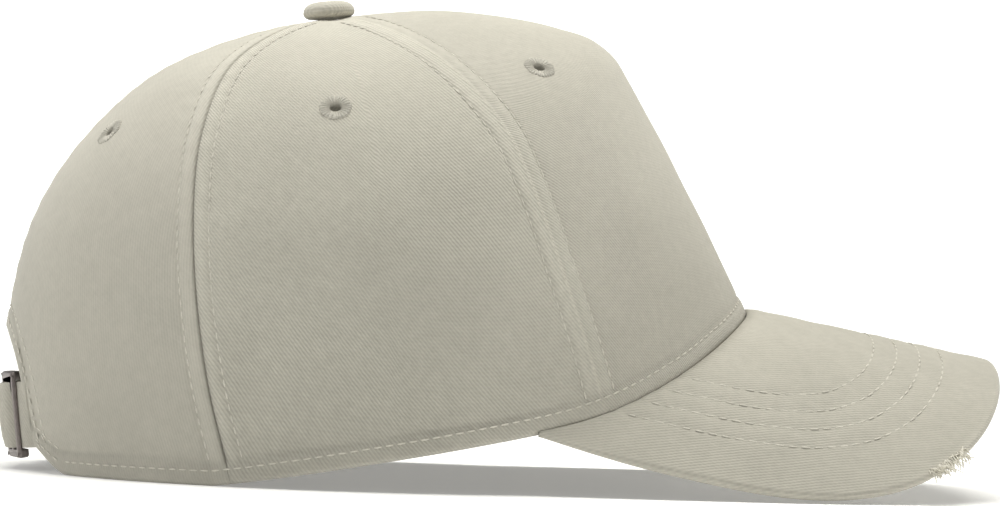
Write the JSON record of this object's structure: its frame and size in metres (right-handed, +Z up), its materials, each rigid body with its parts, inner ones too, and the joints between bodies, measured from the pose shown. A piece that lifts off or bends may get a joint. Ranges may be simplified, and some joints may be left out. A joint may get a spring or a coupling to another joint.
{
  "type": "five panel cap",
  "caption": "Worn-in cotton twill baseball-style cap with a wide front panel, curved stitched peak, embroidered eyelets, covered button and a strap with a metal slide buckle",
  "frame": {"origin": "under the middle of the cap's bounding box, on the surface that the rim and the peak's edges rest on", "axes": "+X towards the tip of the peak, +Y to the wearer's left, +Z up"},
  "size_m": [0.2758, 0.168, 0.132],
  "materials": {
    "twill": "washed cotton twill",
    "thread": "embroidery thread",
    "buckle_metal": "dull antique nickel"
  },
  "bodies": {
    "root": {"front_panel": "twill", "side_panel_right": "twill", "side_panel_left": "twill", "back_panel_right": "twill", "back_panel_left": "twill", "peak": "twill", "sweatband": "twill", "button": "twill", "adjusting_strap": "twill", "buckle_tab": "twill", "eyelet_front_right": "thread", "eyelet_front_left": "thread", "eyelet_side_right": "thread", "eyelet_side_left": "thread", "eyelet_back_right": "thread", "eyelet_back_left": "thread", "buckle": "buckle_metal"}
  },
  "joints": []
}
